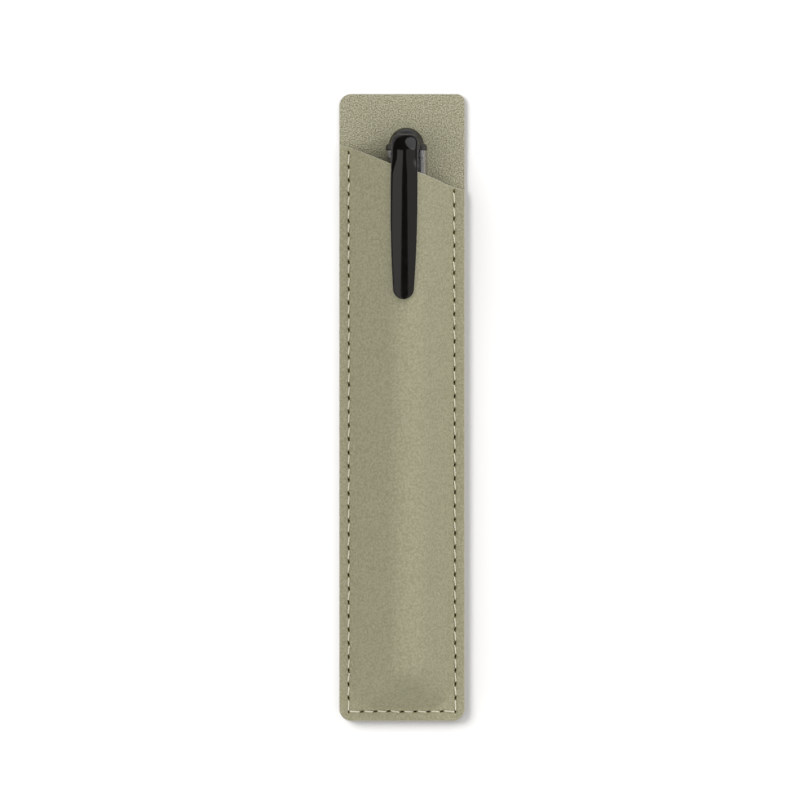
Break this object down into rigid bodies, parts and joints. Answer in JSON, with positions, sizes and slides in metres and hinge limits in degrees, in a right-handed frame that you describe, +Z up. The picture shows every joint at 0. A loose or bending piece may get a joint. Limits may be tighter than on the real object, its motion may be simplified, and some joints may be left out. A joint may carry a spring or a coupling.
{
  "type": "pen sleeve",
  "caption": "Slim sewn sleeve of soft synthetic leather with a slanted pocket mouth, holding one capped gel pen whose clip hooks over the front.",
  "frame": {"origin": "middle of the back panel's underside, where the sleeve lies on the table", "axes": "+Y along the sleeve towards its mouth, +X across it to the right with the front up, +Z up through the front"},
  "size_m": [0.032, 0.16, 0.0155],
  "materials": {
    "leather": "fine grained, satin",
    "lining": "coarse grained, matte",
    "thread": "twisted, matte",
    "black_plastic": "polished black",
    "clear_plastic": "clear",
    "refill_plastic": "milky",
    "soft_rubber": "matte black",
    "steel": "bright",
    "ink": "wet black",
    "grease": "translucent"
  },
  "bodies": {
    "sleeve": {"back_panel": "leather", "back_lining": "lining", "front_lining": "lining", "front_panel": "leather", "needle_thread": "thread", "bobbin_thread": "thread"},
    "pen": {"barrel": "clear_plastic", "grip": "soft_rubber", "nose_cone": "black_plastic", "end_plug": "black_plastic", "refill_tube": "refill_plastic", "nib_holder": "refill_plastic", "nib": "steel", "ball": "steel", "gel_ink": "ink", "grease_plug": "grease"},
    "cap": {"cap_tube": "clear_plastic", "clip_plug": "black_plastic", "tip_seal": "soft_rubber"}
  },
  "joints": [
    {"name": "pen_slide", "type": "slide", "parent": "sleeve", "child": "pen", "axis": [0, 1, 0], "range_m": [0, 0.155]},
    {"name": "cap_pull", "type": "slide", "parent": "pen", "child": "cap", "axis": [0, 1, 0], "range_m": [0, 0.058]}
  ]
}
